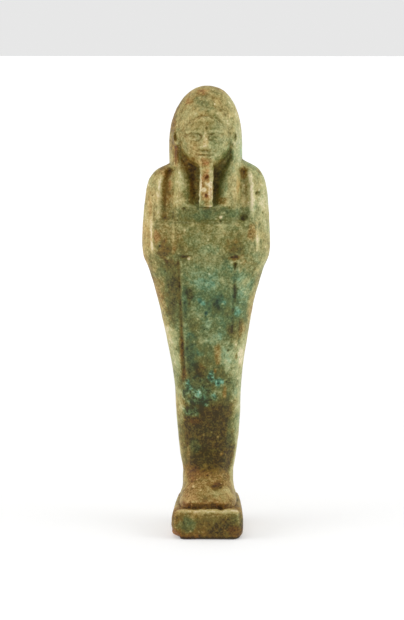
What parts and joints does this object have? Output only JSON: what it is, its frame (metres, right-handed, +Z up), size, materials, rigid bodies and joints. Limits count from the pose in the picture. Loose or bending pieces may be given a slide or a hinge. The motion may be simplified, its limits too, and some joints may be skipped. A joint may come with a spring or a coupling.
{
  "type": "ushabti figurine",
  "caption": "Mummiform funerary figurine with wig, long beard, crossed arms, back pillar and low plinth, moulded in worn green faience.",
  "frame": {"origin": "middle of the plinth's underside, in the plane that it stands on", "axes": "+Z up through the crown, -Y the way the face looks, +X to the viewer's right"},
  "size_m": [0.0358, 0.028, 0.125],
  "materials": {
    "faience": "satin"
  },
  "bodies": {
    "root": {"ushabti": "faience"}
  },
  "joints": []
}
